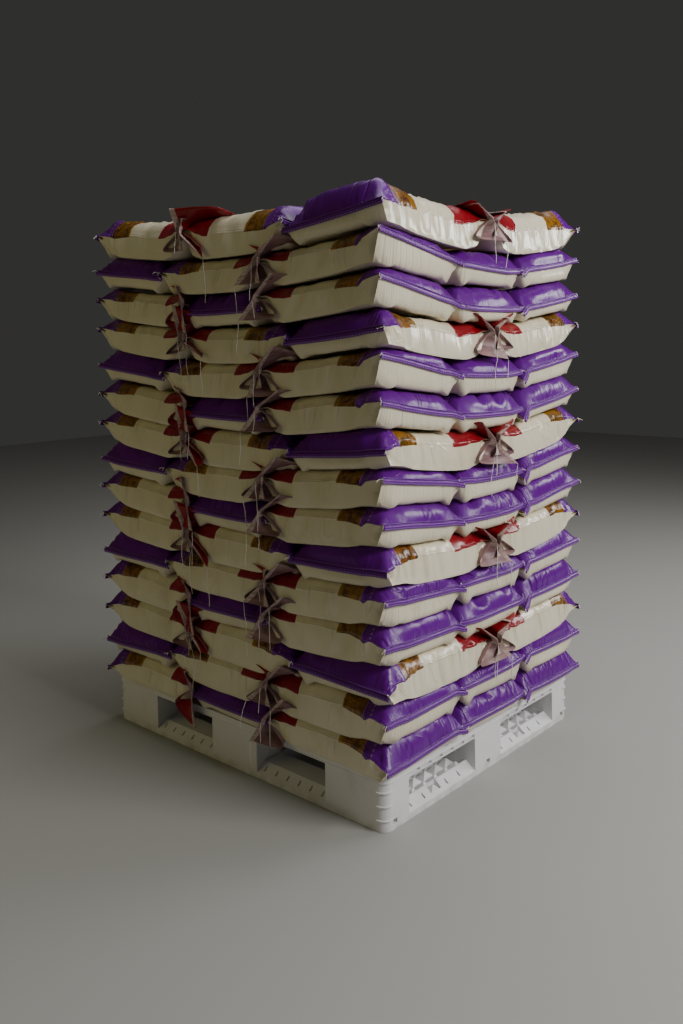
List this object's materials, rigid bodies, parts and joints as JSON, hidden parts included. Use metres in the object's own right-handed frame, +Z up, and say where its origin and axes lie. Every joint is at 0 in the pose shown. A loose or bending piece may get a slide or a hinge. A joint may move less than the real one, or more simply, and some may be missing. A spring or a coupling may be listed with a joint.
{
  "type": "pallet of sacks",
  "caption": "Moulded plastic pallet stacked high with interlocked layers of filled, gusseted woven-film sacks sewn shut at both ends.",
  "frame": {"origin": "middle of the pallet's underside, on the floor", "axes": "+X along the pallet's long side, +Y along its short side, +Z up"},
  "size_m": [1.254, 1.036, 1.7149],
  "materials": {
    "pallet_plastic": "off-white moulded polyethylene, satin, lightly scuffed",
    "sack_film": "cream woven polypropylene laminated with printed film in purple, gold and red, semi-gloss"
  },
  "bodies": {
    "root": {"pallet": "pallet_plastic", "sack_layer_01": "sack_film", "sack_layer_02": "sack_film", "sack_layer_03": "sack_film", "sack_layer_04": "sack_film", "sack_layer_05": "sack_film", "sack_layer_06": "sack_film", "sack_layer_07": "sack_film", "sack_layer_08": "sack_film", "sack_layer_09": "sack_film", "sack_layer_10": "sack_film", "sack_layer_11": "sack_film", "sack_layer_12": "sack_film", "sack_layer_13": "sack_film", "sack_layer_14": "sack_film", "sack_layer_15": "sack_film"}
  },
  "joints": []
}
